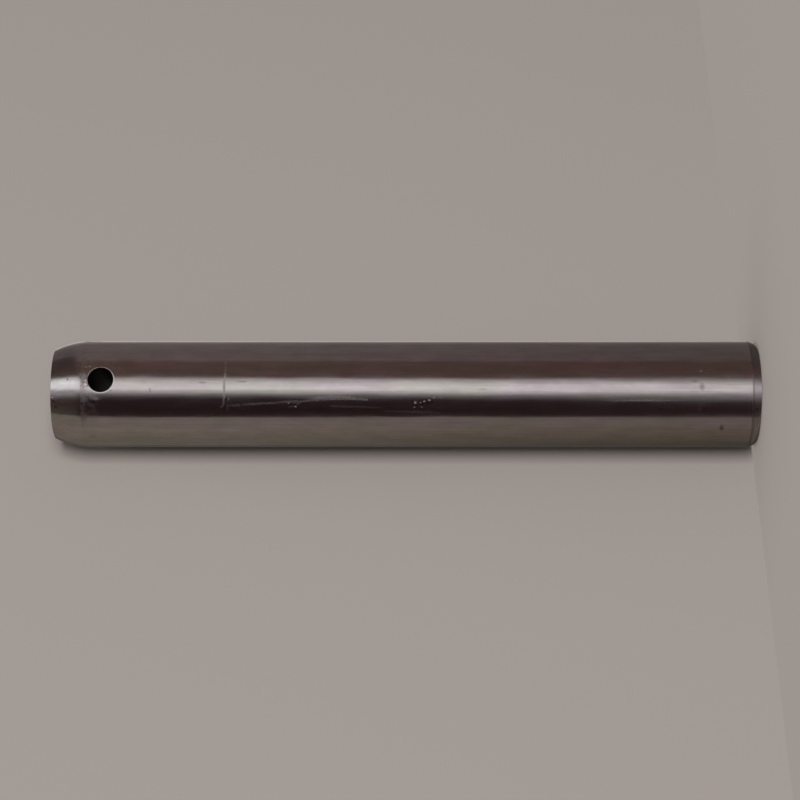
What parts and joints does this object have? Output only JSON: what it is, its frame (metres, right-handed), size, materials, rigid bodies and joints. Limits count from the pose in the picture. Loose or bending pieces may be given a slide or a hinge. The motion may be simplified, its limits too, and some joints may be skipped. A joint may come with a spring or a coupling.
{
  "type": "bucket pin",
  "caption": "Plain round steel hinge pin with a bullet nose, a rounded tail edge and a cross hole near the nose for its retaining bolt.",
  "frame": {"origin": "centre of the flat tail face, on which the pin stands", "axes": "+Z along the pin's own axis, from the tail to the bullet nose; Y along the cross hole's axis; X square to both"},
  "size_m": [0.0799, 0.08, 0.53],
  "materials": {
    "ground_steel": "ground and lightly used steel, a little darkened, with fine scratches along and around the shank"
  },
  "bodies": {
    "root": {"bucket_pin": "ground_steel"}
  },
  "joints": []
}
